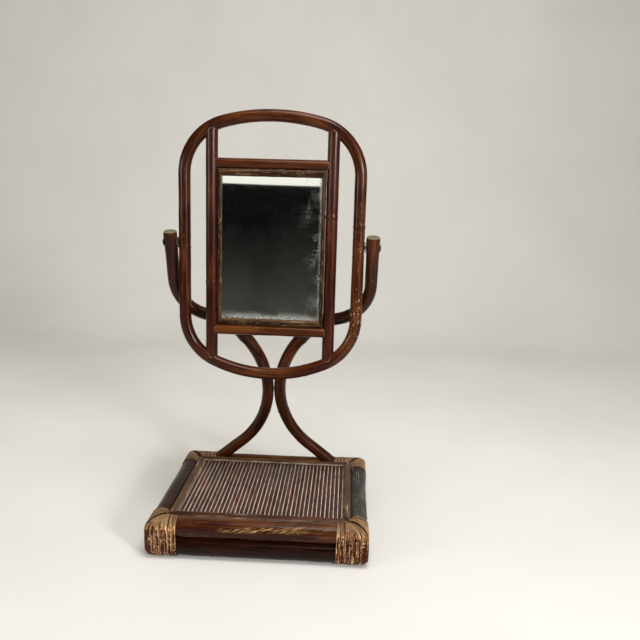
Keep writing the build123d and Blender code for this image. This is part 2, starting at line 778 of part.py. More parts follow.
with BuildPart() as pivot_washers:
    for sign in (-1, 1):
        washer_plane = bolt_station(sign, loop_side + pivot_gap)
        with BuildSketch(washer_plane):
            Circle(washer_diameter / 2)
            Circle(bolt_diameter / 2 + running_clearance, mode=Mode.SUBTRACT)
        extrude(amount=washer_thickness)
finish(pivot_washers, "pivot_washers")
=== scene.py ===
import random
from math import cos, pi, radians, sin

import bpy
import numpy as np
from mathutils import Matrix, Vector, noise


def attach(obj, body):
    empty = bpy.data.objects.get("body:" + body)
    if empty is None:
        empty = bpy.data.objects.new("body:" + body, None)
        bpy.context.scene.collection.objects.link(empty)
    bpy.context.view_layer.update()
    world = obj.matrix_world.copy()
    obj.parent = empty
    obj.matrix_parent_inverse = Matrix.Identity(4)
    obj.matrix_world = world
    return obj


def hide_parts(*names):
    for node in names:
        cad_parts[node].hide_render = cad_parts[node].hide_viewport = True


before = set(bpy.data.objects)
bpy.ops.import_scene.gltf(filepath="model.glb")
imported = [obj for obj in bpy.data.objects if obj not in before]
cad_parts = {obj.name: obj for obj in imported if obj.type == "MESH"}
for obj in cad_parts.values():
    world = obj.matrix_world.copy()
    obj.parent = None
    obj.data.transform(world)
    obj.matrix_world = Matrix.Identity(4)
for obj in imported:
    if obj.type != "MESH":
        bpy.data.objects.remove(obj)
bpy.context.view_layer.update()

# The table top and wall are a plain pale sweep, lit by a big soft lamp overhead, a
# window-like lamp at the right front and a weak fill at the left. A card stands round
# them that glows and is seen only by glass and lacquer: a painted reflection of a dim
# room, darker towards the top, with a white strip and a bright slit that glow for highlights.
mm = 0.001
wall_height, cove = 3.5, 0.5


def mode(name):
    """Goes into edit mode, or back to object mode."""
    bpy.ops.object.mode_set(mode=name)


def choose(piece, kind, rule):
    """Goes into edit mode with just those points, edges or faces selected that a rule picks."""
    mode("EDIT")
    bpy.ops.mesh.select_all(action="DESELECT")
    mode("OBJECT")
    for part in getattr(piece.data, kind):
        part.select = rule(part)
    mode("EDIT")


def at_wall_foot(edge):
    """Whether an edge of the sweep lies where the floor meets the wall."""
    ends = [sweep.data.vertices[index].co for index in edge.vertices]
    return all(end.y > 0 and end.z < 1 for end in ends)


bpy.ops.object.select_all(action="DESELECT")
bpy.ops.mesh.primitive_plane_add(size=6.0, location=(0, -1.6, 0))
sweep = bpy.context.object
sweep.name = "pale_sweep"
choose(sweep, "edges", at_wall_foot)
bpy.ops.mesh.extrude_region_move(TRANSFORM_OT_translate={"value": (0, 0, wall_height)})
mode("OBJECT")
choose(sweep, "edges", at_wall_foot)
bpy.ops.mesh.bevel(offset=cove, segments=24, affect="EDGES")
mode("OBJECT")
bpy.ops.object.shade_smooth()


def rgb(red, green, blue):
    """A colour as it looks on screen, 0 to 255, turned into what a shader takes."""
    def level(value):
        share = value / 255
        return share / 12.92 if share <= 0.04045 else ((share + 0.055) / 1.055) ** 2.4
    return (level(red), level(green), level(blue), 1.0)


def start_finish(name):
    """A new material and its shader."""
    finish = bpy.data.materials.new(name)
    finish.use_nodes = True
    return finish, finish.node_tree.nodes["Principled BSDF"]


def feed(node, inputs):
    """Feeds sockets of a node, from other sockets or with plain values."""
    for key, value in inputs.items():
        if isinstance(value, bpy.types.NodeSocket):
            node.id_data.links.new(value, node.inputs[key])
        else:
            node.inputs[key].default_value = value


def put(kind, inputs, out=0, beside=None, **settings):
    """Adds a node beside those that feed it, sets it and hands back one of its outputs."""
    sources = [value for value in inputs.values() if isinstance(value, bpy.types.NodeSocket)]
    node = (beside or sources[0]).id_data.nodes.new(kind)
    for key, value in settings.items():
        setattr(node, key, value)
    feed(node, inputs)
    return node.outputs[out]


def position(surface):
    """Where each point lies on the object."""
    return put("ShaderNodeTexCoord", {}, 3, surface)


def axis(vector, number):
    """One of a vector's three numbers."""
    return put("ShaderNodeSeparateXYZ", {0: vector}, number)


def grade(value, *stops):
    """A colour ramp through the stops, each a place and a colour as it looks on screen."""
    node = value.id_data.nodes.new("ShaderNodeValToRGB")
    marks = node.color_ramp.elements
    while len(marks) < len(stops):
        marks.new(1.0)
    for mark, (place, colour) in zip(marks, stops):
        mark.position = place
        mark.color = rgb(*colour)
    feed(node, {0: value})
    return node.outputs[0]


def work(operation, first, second=0.0):
    """The result of a sum."""
    return put("ShaderNodeMath", {0: first, 1: second}, operation=operation)


def times(first, second):
    """Two values multiplied."""
    return work("MULTIPLY", first, second)


def plus(first, second):
    """Two values added."""
    return work("ADD", first, second)


def minus(first, second):
    """The first value less the second."""
    return work("SUBTRACT", first, second)


def grain_noise(source, scale, detail=4.0, rough=0.55, shift=(0, 0, 0)):
    """Noise stretched by a scale for each axis of the source."""
    spread = put("ShaderNodeMapping", {0: source, 1: shift, 3: scale})
    return put("ShaderNodeTexNoise", {"Vector": spread, "Scale": 1.0, "Detail": detail, "Roughness": rough})


sweep_paint, surface = start_finish("pale_paint")
mottle = grain_noise(position(surface), (3, 3, 3), 3)
paint = grade(mottle, (0.3, (216, 213, 207)), (0.7, (222, 220, 215)))
feed(surface, {"Base Color": paint, "Roughness": 0.85, "Specular IOR Level": 0.1})
sweep.data.materials.append(sweep_paint)

for name, spot, aim, size, power, spread, tint in (
    ("soft_top", (0.25, -0.35, 1.55), (0, 0, 0.2), 0.8, 17, 180, (1.0, 0.985, 0.96)),
    ("window_right", (1.15, -1.25, 0.75), (0, 0, 0.25), 0.32, 6.5, 100, (0.94, 0.97, 1.0)),
    ("fill_left", (-1.3, -0.9, 0.6), (0, 0, 0.25), 0.4, 6, 180, (1.0, 0.985, 0.96)),
):
    lamp_data = bpy.data.lights.new(name, "AREA")
    lamp_data.size = size
    lamp_data.energy = power
    lamp_data.spread = radians(spread)
    lamp_data.color = tint
    lamp = bpy.data.objects.new(name, lamp_data)
    bpy.context.collection.objects.link(lamp)
    lamp.location = spot
    lamp.rotation_euler = (Vector(aim) - Vector(spot)).to_track_quat("-Z", "Y").to_euler()

world = bpy.data.worlds.new("room")
bpy.context.scene.world = world
world.use_nodes = True
feed(world.node_tree.nodes["Background"], {"Color": rgb(226, 223, 217), "Strength": 0.50})

card_radius, card_back, slit_start, slit_end = 1.8, 1.2, 0.68, 0.88
card_top, strip_top, wall_top, roof_top = 0.54, 0.80, 2.2, 2.4
bpy.ops.object.select_all(action="DESELECT")
bpy.ops.mesh.primitive_circle_add(vertices=96, radius=card_radius)
card = bpy.context.object
card.name = "dark_card"
choose(card, "vertices", lambda point: point.co.y > card_back)
bpy.ops.mesh.delete(type="VERT")
bpy.ops.mesh.select_all(action="SELECT")
for low, high in ((0, card_top), (card_top, strip_top), (strip_top, wall_top), (wall_top, roof_top)):
    bpy.ops.mesh.extrude_region_move(TRANSFORM_OT_translate={"value": (0, 0, high - low)})
bpy.ops.transform.resize(value=(0.02, 0.02, 1), center_override=(0, 0, roof_top))
mode("OBJECT")
# The card's faces glow in their own colours and show only in reflections: a painted reflection of a dim
# room, darker towards the top with soft patches, a strip that glows white and a slit that glows bright for
# highlights.
for name, glow, *stops in (
    ("dark_cloth", 1.0, (0.0, (72, 70, 64)), (0.34, (37, 37, 34)), (0.58, (13, 14, 12))),
    ("white_strip", 1.15, (0.0, (255, 252, 238)), (1.0, (255, 252, 238))),
    ("bright_window", 3.4, (0.0, (255, 250, 240)), (1.0, (255, 250, 240))),
):
    finish, surface = start_finish(name)
    where = position(surface)
    dim_patches = times(grain_noise(where, (5, 5, 3), 3), 0.45)
    level = plus(times(axis(where, 2), 1.3), minus(dim_patches, 0.22))
    feed(surface, {"Emission Color": grade(level, *stops), "Emission Strength": glow})
    feed(surface, {"Base Color": (0, 0, 0, 1), "Roughness": 1.0, "Specular IOR Level": 0.0})
    card.data.materials.append(finish)
for face in card.data.polygons:
    aside = face.center.x / card_radius if face.center.y < 0 else 0
    in_strip, in_slit = card_top < face.center.z < strip_top, slit_start < aside < slit_end
    face.material_index = 1 if in_strip else 2 if in_slit else 0
card.visible_camera = card.visible_diffuse = card.visible_shadow = False

camera_data = bpy.data.cameras.new("camera")
camera_data.lens = 36.56
camera_data.sensor_width = 36.0
camera = bpy.data.objects.new("camera", camera_data)
bpy.context.collection.objects.link(camera)
camera.location = (0.09229, -0.75799, 0.41832)
camera.rotation_euler = (radians(78.2698), radians(-1.5186), radians(2.6833))
bpy.context.scene.camera = camera
bpy.context.scene.view_settings.view_transform = "Standard"

# The tray's eight poles: rattan 22.5 mm thick, stained dark red-brown under a thin
# lacquer, two poles high on each side, cut to a mitre at the corners and nailed there.
# The front and rear upper poles are rubbed, their upper faces painted lighter as wear and as painted light
# from above, and the right one has lost its skin.
half_width, half_depth = 125 * mm, 102 * mm
pole_radius = 11.25 * mm
lower_axis, upper_axis = 12.3 * mm, 34.8 * mm
around, ring = 36, 3 * mm
to_right, to_rear, upright = Vector((1, 0, 0)), Vector((0, 1, 0)), Vector((0, 0, 1))


def draw_pole(name, start, heading, bend_axis, radius, route, pitch=ring):
    """Draws a pole as it is bent: a ring at its end, then straight runs and bends."""
    bpy.ops.object.select_all(action="DESELECT")
    turn = heading.to_track_quat("Z", "Y").to_euler()
    bpy.ops.mesh.primitive_circle_add(vertices=around, radius=radius, location=start, rotation=turn)
    pole = bpy.context.object
    pole.name = name
    bpy.ops.object.transform_apply(location=True, rotation=True, scale=True)
    mode("EDIT")
    bpy.ops.mesh.select_all(action="SELECT")
    place = start.copy()
    heading = heading.normalized()
    for bend_radius, amount in route:
        if bend_radius:
            centre = place + bend_axis.cross(heading) * bend_radius * (1 if amount > 0 else -1)
            steps = max(2, round(bend_radius * abs(radians(amount)) / pitch))
            bpy.ops.mesh.spin(steps=steps, angle=-radians(amount), center=centre, axis=bend_axis)
            bend = Matrix.Rotation(radians(amount), 3, bend_axis)
            place = centre + bend @ (place - centre)
            heading = bend @ heading
        else:
            steps = max(1, round(amount / pitch))
            bpy.ops.mesh.extrude_repeat(steps=steps, offset=heading * amount / steps)
            place = place + heading * amount
    mode("OBJECT")
    return pole


def read_points(piece):
    """The points of a piece as an array."""
    points = np.empty(len(piece.data.vertices) * 3)
    piece.data.vertices.foreach_get("co", points)
    return points.reshape(-1, 3)


def write_points(piece, points):
    """Puts changed points back."""
    piece.data.vertices.foreach_set("co", points.ravel())
    piece.data.update()


def write_value(piece, name, values):
    """Keeps a value or a vector for each point, for the materials to read."""
    values = np.array(values, dtype=float)
    kind, key = ("FLOAT", "value") if values.ndim == 1 else ("FLOAT_VECTOR", "vector")
    piece.data.attributes.new(name, kind, "POINT").data.foreach_set(key, values.ravel())


def lengths_along(line):
    """How far along a line each of its points lies."""
    steps = np.linalg.norm(np.diff(np.array(line), axis=0), axis=1)
    return np.concatenate([[0], np.cumsum(steps)])


def weather(pole, swell, seed, knots, grain_start):
    """Rattan isn't round or straight: small waves, and a low ring at each joint of the cane.

    Each point keeps where it lay before the pole was bent, so that the grain follows the
    bends. Hands back how far along the pole each of its rings is.
    """
    rings = read_points(pole).reshape(-1, around, 3)
    centres = rings.mean(axis=1, keepdims=True)
    outward = rings - centres
    girth = np.linalg.norm(outward, axis=2, keepdims=True)
    outward = outward / girth
    spans = lengths_along(centres[:, 0])
    angle = np.arange(around) * 2 * pi / around
    straight = np.repeat(spans[:, None] + grain_start, around, 1)
    grain = [straight, girth[..., 0] * np.cos(angle), girth[..., 0] * np.sin(angle)]
    write_value(pole, "grain", np.stack(grain, axis=2))
    shift = Vector((seed, 0, 0))
    waves = [[noise.noise(Vector(point) * 45 + shift) for point in one] for one in rings]
    lift = np.array(waves)[..., None] * swell
    for knot in knots:
        away = np.abs(spans - knot)
        crest = np.exp(-(away / (1.6 * mm)) ** 2) * 0.35 * mm
        foot = np.exp(-((away - 3.6 * mm) / (1.5 * mm)) ** 2) * 0.2 * mm
        lift = lift + (crest - foot)[:, None, None]
    write_points(pole, centres + outward * (girth + lift - swell * 0.5))
    return spans


def pick(*pieces):
    """Selects these pieces alone and makes the first one active."""
    bpy.ops.object.select_all(action="DESELECT")
    for piece in pieces:
        piece.select_set(True)
    bpy.context.view_layer.objects.active = pieces[0]


def turn_faces_out():
    """Turns every face of the mesh being edited outward, and leaves edit mode."""
    bpy.ops.mesh.select_all(action="SELECT")
    bpy.ops.mesh.normals_make_consistent(inside=False)
    mode("OBJECT")


def close_ends(pole, inset=None):
    """Fills the open ends of a pole, and rounds their rims where an inset is given."""
    pick(pole)
    mode("EDIT")
    bpy.ops.mesh.select_mode(type="EDGE")
    bpy.ops.mesh.select_all(action="DESELECT")
    bpy.ops.mesh.select_non_manifold()
    bpy.ops.mesh.fill_holes(sides=0)
    bpy.ops.mesh.select_mode(type="FACE")
    if inset:
        choose(pole, "polygons", lambda face: len(face.vertices) > 8)
        bpy.ops.mesh.inset(thickness=inset, depth=0)
        bpy.ops.mesh.inset(thickness=inset * 0.6, depth=-inset * 0.45)
        bpy.ops.mesh.poke()
    bpy.ops.mesh.select_mode(type="VERT")
    turn_faces_out()


def smooth(piece, angle):
    """Smooth shading, with sharp edges kept."""
    pick(piece)
    bpy.ops.object.shade_smooth_by_angle(angle=radians(angle))


def wear_in(piece, finish, meets=(), rubbed=None, angle=40):
    """Gives a piece smooth shading, its material, and the marks of wear that this reads.

    Facing up is how much a point looks up, which the stains read as wear and as painted
    light from above, joint how far it is from the face of a pole that the piece meets,
    given by its line and radius, and rubbed what a rule says.
    """
    smooth(piece, angle)
    points = read_points(piece)
    normals = np.empty(points.size)
    piece.data.vertices.foreach_get("normal", normals)
    write_value(piece, "facing_up", np.clip(normals.reshape(-1, 3)[:, 2], 0, 1))
    nearest = np.full(len(points), 0.05)
    for line, girth in meets:
        for chunk in np.array_split(np.array(line), max(1, len(line) // 60)):
            gap = np.linalg.norm(points[:, None] - chunk[None], axis=2).min(axis=1) - girth
            nearest = np.minimum(nearest, np.abs(gap))
    write_value(piece, "joint", nearest)
    write_value(piece, "rubbed", [rubbed(*point) if rubbed else 0.0 for point in points])
    piece.data.materials.append(finish)


def read_value(surface, name, out=2):
    """A value that the points keep."""
    return put("ShaderNodeAttribute", {}, out, surface, attribute_name=name)


def mix(factor, first, second, blend="MIX"):
    """Two colours mixed by a factor."""
    first, second = [rgb(*colour) if isinstance(colour, tuple) else colour for colour in (first, second)]
    return put("ShaderNodeMix", {0: factor, 6: first, 7: second}, 2, data_type="RGBA", blend_type=blend)


def band(value, low, high, start=0.0, end=1.0):
    """A value eased from start to end as it goes from low to high."""
    limits = {0: value, 1: low, 2: high, 3: start, 4: end}
    return put("ShaderNodeMapRange", limits, interpolation_type="SMOOTHSTEP")


def relief(height, strength, depth):
    """A bump from a height."""
    return put("ShaderNodeBump", {"Strength": strength, "Distance": depth, "Height": height})


def stained(
        name, dark, middle, light, bare, wear_and_top_light, chips, shift=0.0, gloss=0.2, shine=0.16,
        scuffs=0.0, dust=0.0, joint_colour=None):
    """Stained and lacquered rattan: fine fibres, slow changes of tone, rubbed and chipped places."""
    finish, surface = start_finish(name)
    grain = read_value(surface, "grain", 1)
    facing_up, rubbed, joint = [read_value(surface, value) for value in ("facing_up", "rubbed", "joint")]
    move = (shift, shift * 0.37, -shift * 0.21)
    tone = grain_noise(grain, (16, 60, 60), 3, 0.5, move)
    streaks = grain_noise(grain, (22, 520, 520), 4, 0.65, move)
    fibres = grain_noise(grain, (50, 2300, 2300), 2, 0.6, move)
    level = plus(times(tone, 0.5), times(streaks, 0.5))
    # Faces that look up are painted lighter than the rest, partly as worn stain and partly as painted light
    # from above.
    level = plus(level, times(facing_up, wear_and_top_light * 0.2))
    level = plus(level, times(rubbed, 0.08))
    colour = grade(level, (0.30, dark), (0.50, middle), (0.75, light))
    lines = band(fibres, 0.3, 0.7, 0.72, 1.2)
    colour = mix(1.0, colour, put("ShaderNodeCombineXYZ", {0: lines, 1: lines, 2: lines}), "MULTIPLY")
    pits = grain_noise(grain, (210, 620, 620), 5, 0.7, move)
    spread = grain_noise(grain, (22, 70, 70), 2, 0.5, (shift + 3.1, 1, 2))
    likely = plus(times(rubbed, 0.13), times(spread, chips * 0.35))
    chipped = band(plus(pits, likely), 0.715, 0.745)
    colour = mix(chipped, colour, bare)
    if scuffs:
        hair = grain_noise(grain, (30, 800, 800), 3, 0.5, (shift + 7, 3, 1))
        patch = grain_noise(grain, (34, 90, 90), 2, 0.5, (shift + 11, 5, 2))
        scuffed = times(band(hair, 0.58, 0.66), band(patch, 0.48, 0.60))
        colour = mix(times(scuffed, scuffs), colour, bare)
    if dust:
        powder = grain_noise(grain, (55, 260, 260), 5, 0.7, (shift + 5, 2, 4))
        side = plus(work("ABSOLUTE", axis(grain, 1)), times(powder, 0.004))
        colour = mix(times(band(side, 0.0056, 0.0068), dust), colour, (160, 144, 126))
    if joint_colour:
        seam = band(minus(joint, times(pits, 0.0009)), -0.0003, 0.0004, 1.0, 0.0)
        colour = mix(times(seam, 0.75), colour, joint_colour)
    rough = plus(band(streaks, 0.3, 0.7, gloss - 0.05, gloss + 0.08), times(chipped, 0.35))
    feed(surface, {"Base Color": colour, "Roughness": rough, "Specular IOR Level": shine})
    height = plus(times(fibres, 0.25), times(streaks, 0.6))
    height = minus(height, times(chipped, 0.5))
    feed(surface, {"Normal": relief(height, 0.3, 0.0004)})
    return finish


def bare_spot(x, y, z):
    """The right upper pole is rubbed most a little in front of its middle."""
    return 0.5 * max(0, 1 - abs(y + 20 * mm) / (60 * mm))


upper_stain = stained(
    "upper_stain", (16, 4, 2), (47, 18, 7), (98, 54, 23), (184, 140, 92),
    wear_and_top_light=0.6, chips=0.12, scuffs=0.2, shine=0.15)
lower_stain = stained(
    "lower_stain", (9, 2, 1), (24, 7, 3), (54, 22, 10), (150, 118, 92),
    wear_and_top_light=0.35, chips=0.1, gloss=0.24, shift=4.0, shine=0.14)
bare_skin = stained(
    "bare_skin", (16, 15, 16), (38, 37, 38), (80, 72, 62), (160, 142, 112),
    wear_and_top_light=0.1, chips=0.3, gloss=0.4, shift=9.0, scuffs=0.7, shine=0.1)
line_x, line_y = half_width - pole_radius, half_depth - pole_radius
tray_sides = {
    "front": ((-half_width, -line_y), to_right, 2 * half_width, upper_stain, (58, 171)),
    "rear": ((-half_width, line_y), to_right, 2 * half_width, upper_stain, (92, 188)),
    "left": ((-line_x, -half_depth), to_rear, 2 * half_depth, lower_stain, (77, 150)),
    "right": ((line_x, -half_depth), to_rear, 2 * half_depth, bare_skin, (48, 139)),
}
for count, (side, (corner, heading, length, upper_finish, knots)) in enumerate(tray_sides.items()):
    into_tray = heading.cross(upright) * (1 if side in ("rear", "left") else -1)
    for level, height, finish, knot_shift, grain_shift in (
        ("lower", lower_axis, lower_stain, 17, 0),
        ("upper", upper_axis, upper_finish, 0, 0.31),
    ):
        start = Vector((*corner, height))
        pole = draw_pole(f"{side}_{level}_rattan", start, heading, upright, pole_radius, [(0, length)])
        rings_at = [(knot + knot_shift) * mm for knot in knots]
        weather(pole, 0.25 * mm, count * 3 + height * 90, rings_at, count * 0.6 + grain_shift)
        points = read_points(pole)
        along = (points - np.array(start)) @ np.array(heading)
        inset = pole_radius + (points - np.array(start)) @ np.array(into_tray) + 0.15 * mm
        cut = np.clip(along, inset, length - inset)
        write_points(pole, points + (cut - along)[:, None] * np.array(heading))
        close_ends(pole)
        wear_in(pole, finish, rubbed=bare_spot if side == "right" else None)
        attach(pole, "stand")
        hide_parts(f"tray_{side}_{level}_pole")

# The front upper pole carries a long thin patch of slanting golden scratches. It runs
# from left of the middle to the right, a third of the way down the pole's face.
scratched_stain = upper_stain.copy()
scratched_stain.name = "scratched_stain"
surface = scratched_stain.node_tree.nodes["Principled BSDF"]
where = position(surface)
slant = put("ShaderNodeMapping", {0: where, 2: (0, radians(18), 0)})
hair = grain_noise(slant, (60, 60, 1600), 3, 0.6, (2, 0, 1))
spread = grain_noise(where, (34, 60, 260), 3, 0.55, (4, 1, 2))
aside = axis(where, 0)
off_line = work("ABSOLUTE", minus(axis(where, 2), plus(times(aside, 0.034), 0.0398)))
patch = times(band(off_line, 0.0012, 0.0036, 1.0, 0.0), band(aside, -0.048, -0.030))
patch = times(patch, band(aside, 0.040, 0.066, 1.0, 0.2))
patch = times(patch, band(spread, 0.34, 0.52))
scratches = times(band(hair, 0.50, 0.58), patch)
plain = surface.inputs["Base Color"].links[0].from_socket
feed(surface, {"Base Color": mix(times(scratches, 0.75), plain, (190, 152, 98))})
bpy.data.objects["front_upper_rattan"].data.materials[0] = scratched_stain

# Nails and dowels hold the poles together. The nails are dull steel with a little rust
# and the dowels are pale birch, and both are mostly out of sight.


def plain_finish(name, dark, light, scale, gloss, metal=0.0, speck=None):
    """A finish for small and hidden pieces: two tones in a stretched grain, with specks."""
    finish, surface = start_finish(name)
    where = position(surface)
    grain = grain_noise(where, scale, 4, 0.6)
    colour = grade(grain, (0.32, dark), (0.68, light))
    if speck:
        dots = grain_noise(where, (900, 900, 900), 3, 0.6, (1, 2, 3))
        colour = mix(band(dots, 0.62, 0.68), colour, speck)
    rough = band(grain, 0.3, 0.7, gloss - 0.08, gloss + 0.1)
    feed(surface, {"Base Color": colour, "Metallic": metal, "Roughness": rough})
    feed(surface, {"Normal": relief(grain, 0.4, 0.0002)})
    return finish


def dress(node, finish):
    """Gives a carried-over node its finish."""
    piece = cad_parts[node]
    piece.data.materials.clear()
    piece.data.materials.append(finish)


nail_steel = plain_finish(
    "dull_nail_steel", (70, 66, 62), (128, 122, 116), (400, 400, 400), 0.42, metal=0.9, speck=(84, 52, 34))
dowel_wood = plain_finish("birch_dowel", (176, 142, 100), (206, 176, 134), (300, 60, 300), 0.6)
dress("corner_nails", nail_steel)

# The corner wraps: split cane about 4 mm wide, wound tight round both poles. On each arm
# the laps start square and fan out round the corner, so they crowd and overlap at the
# crotch. The skin was lacquered after it was wound, and has flaked off the crests.
strip_width, strip_thickness = 4.0 * mm, 1.25 * mm
lap_pitch = 4.75 * mm
crotch, mitre_gap = 2 * pole_radius + 1.2 * mm, 2.2 * mm
under_gap, floor_gap = 0.12 * mm, 0.02 * mm


def wind_arm(corner, along, outward, length, seed, first):
    """One strip round both poles of an arm: its points, faces, grain and wear."""
    chance = random.Random(seed)
    laps = int(length / lap_pitch) + 1
    outer_places = [max(length - strip_width / 2 - lap_pitch * lap, mitre_gap) for lap in range(laps)]
    fan = [max(0.0, crotch - place) for place in outer_places]
    inner_places = [place if gap == 0 else crotch + 0.35 * gap for place, gap in zip(outer_places, fan)]
    widths = [strip_width * chance.uniform(0.88, 1.06) for _ in range(laps)]
    sway = [chance.uniform(-0.35, 0.35) * mm for _ in range(laps + 1)]
    stack = [gap * 0.035 for gap in fan]
    spine, faces_out, breadths = [], [], []
    run_steps, turn_steps = 8, 16
    parts = (("inner", run_steps), ("under", turn_steps), ("outer", run_steps), ("over", turn_steps))
    one_lap = [(part, step / steps) for part, steps in parts for step in range(steps)]
    track = [(lap, part, share) for lap in range(laps) for part, share in one_lap]
    for lap, part, share in track:
        before, ease = max(lap - 1, 0), 1.0
        if part == "inner":
            tilt, climb, wobble = -pi, 1 - share, 0.0
            ease = share * share * (3 - 2 * share)
        elif part == "under":
            tilt, climb, wobble = -pi + pi * share, 0.0, sway[lap]
        elif part == "outer":
            tilt, climb, wobble = 0.0, share, sway[lap] * (1 - share) + sway[lap + 1] * share
        else:
            tilt, climb, wobble = pi * share, 1.0, sway[lap + 1] * (1 - share)
        place_in = inner_places[before] * (1 - ease) + inner_places[lap] * ease
        extra = stack[before] * (1 - ease) + stack[lap] * ease
        inward = (1 - cos(tilt)) / 2
        place = place_in * inward + (outer_places[lap] + wobble) * (1 - inward)
        level = lower_axis + (upper_axis - lower_axis) * climb
        normal = outward * cos(tilt) + upright * sin(tilt)
        centre = corner + outward * -pole_radius + along * place + upright * level
        spine.append(centre + normal * (pole_radius + under_gap + extra * inward ** 2))
        faces_out.append(normal)
        breadths.append(widths[lap])
    half = [(0.5, 0.0), (0.5, 0.62), (0.42, 0.86), (0.2, 0.98)]
    outline = [(-x, y) for x, y in half] + [(0, 1.0)] + half[::-1]
    spans = lengths_along(spine)
    points, grain, facing_up = [], [], []
    for index, (point, normal, breadth) in enumerate(zip(spine, faces_out, breadths)):
        ahead = spine[min(index + 1, len(spine) - 1)] - spine[max(index - 1, 0)]
        across = ahead.cross(normal).normalized()
        cup = 1 + 0.10 * noise.noise(Vector((spans[index] * 60, seed * 3.7, 0)))
        for offset, height in outline:
            spot = point + across * offset * breadth * cup + normal * height * strip_thickness * cup
            spot.z = max(spot.z, floor_gap)
            points.append(spot)
            grain.append((spans[index] + seed * 0.7, offset * breadth, height * strip_thickness))
            facing_up.append(max(0.0, normal.z) ** 0.6)
    count, last = len(outline), first + len(points) - 1
    faces = [tuple(range(first, first + count)), tuple(range(last, last - count, -1))]
    for row in range(first, last + 1 - count, count):
        for column in range(count):
            turn = (column + 1) % count
            faces.append((row + column, row + turn, row + count + turn, row + count + column))
    return points, faces, grain, facing_up


# Its lacquer stays longest along the middle of each strip, and the low sides of each strip, down between the
# laps, are painted dark.
flaked_cane, surface = start_finish("flaked_cane")
grain = read_value(surface, "grain", 1)
facing_up = read_value(surface, "facing_up")
fibres = grain_noise(grain, (70, 2600, 900), 3, 0.6)
tone = grain_noise(grain, (60, 420, 420), 3, 0.5, (2, 1, 0))
level = plus(times(fibres, 0.5), times(tone, 0.5))
cane = grade(level, (0.38, (112, 66, 36)), (0.5, (194, 144, 94)), (0.62, (238, 200, 148)))
flakes = grain_noise(grain, (300, 700, 700), 5, 0.7, (5, 2, 1))
sheets = grain_noise(grain, (40, 150, 150), 3, 0.5, (8, 2, 1))
aside = work("ABSOLUTE", axis(grain, 1))
left = plus(times(flakes, 0.62), times(sheets, 0.38))
left = minus(left, times(facing_up, 0.10))
left = plus(left, band(aside, 0.0008, 0.0018, 0.05, -0.05))
lacquer = band(left, 0.478, 0.500)
stain = grade(fibres, (0.35, (20, 2, 0)), (0.55, (58, 10, 3)), (0.7, (104, 36, 15)))
colour = mix(lacquer, cane, stain)
# The low sides of each strip, down between the laps, are painted dark.
low_sides_dark = band(axis(grain, 2), 0.0004, 0.0011, 0.95, 0.0)
colour = mix(low_sides_dark, colour, (26, 9, 4))
dirt = times(band(facing_up, 0.4, 0.95), band(tone, 0.36, 0.62, 0.4, 0.9))
colour = mix(dirt, colour, (112, 90, 66))
splits = grain_noise(grain, (14, 1000, 300), 2, 0.4, (21, 4, 2))
seams = work("MAXIMUM", band(aside, 0.0013, 0.0018, 0.0, 0.8), band(splits, 0.54, 0.60, 0.0, 0.8))
seams = times(seams, band(facing_up, 0.3, 0.8))
colour = mix(seams, colour, (54, 36, 23))
soot = grain_noise(grain, (80, 300, 300), 4, 0.6, (15, 2, 1))
colour = mix(times(band(soot, 0.52, 0.66), 0.6), colour, (58, 36, 22))
rough = band(lacquer, 0.0, 1.0, 0.62, 0.34)
feed(surface, {"Base Color": colour, "Roughness": rough, "Specular IOR Level": 0.15})
height = plus(times(fibres, 0.5), times(lacquer, 0.55))
feed(surface, {"Normal": relief(height, 0.6, 0.0004)})

wrap_lengths = {"front": (-1, 35 * mm, 31 * mm), "rear": (1, 43 * mm, 37 * mm)}
for end, (sign_y, length_x, length_y) in wrap_lengths.items():
    for sign_x, hand in ((-1, "left"), (1, "right")):
        corner = Vector((sign_x * half_width, sign_y * half_depth, 0))
        arms = (
            (to_right * -sign_x, to_rear * sign_y, length_x),
            (to_rear * -sign_y, to_right * sign_x, length_y),
        )
        points, faces, grain, facing_up = [], [], [], []
        for number, (along, outward, length) in enumerate(arms):
            seed = number + 2 * (sign_x + 1) + 4 * (sign_y + 1) + 1
            strip = wind_arm(corner, along, outward, length, seed, len(points))
            for kept, made in zip((points, faces, grain, facing_up), strip):
                kept += made
        mesh = bpy.data.meshes.new(f"{end}_{hand}_cane")
        mesh.from_pydata(points, [], faces)
        wrap = bpy.data.objects.new(f"{end}_{hand}_cane", mesh)
        bpy.context.collection.objects.link(wrap)
        write_value(wrap, "grain", grain)
        write_value(wrap, "facing_up", facing_up)
        pick(wrap)
        mode("EDIT")
        turn_faces_out()
        smooth(wrap, 55)
        mesh.materials.append(flaked_cane)
        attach(wrap, "stand")
        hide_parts(f"corner_wrap_{end}_{hand}")

# The panel in the tray: a thin board on two cleats, covered with forty half-round
# reeds glued side by side from front to back. Their crests are dark with stain, and
# pale dust and old glue show down in the grooves between them.
board_top = 39.45 * mm
reed_count, reed_pitch = 40, 5 * mm
reed_width, reed_height, reed_edge, reed_length = 4.5 * mm, 2.45 * mm, 0.8 * mm, 158.6 * mm
glue_height = 1.3 * mm


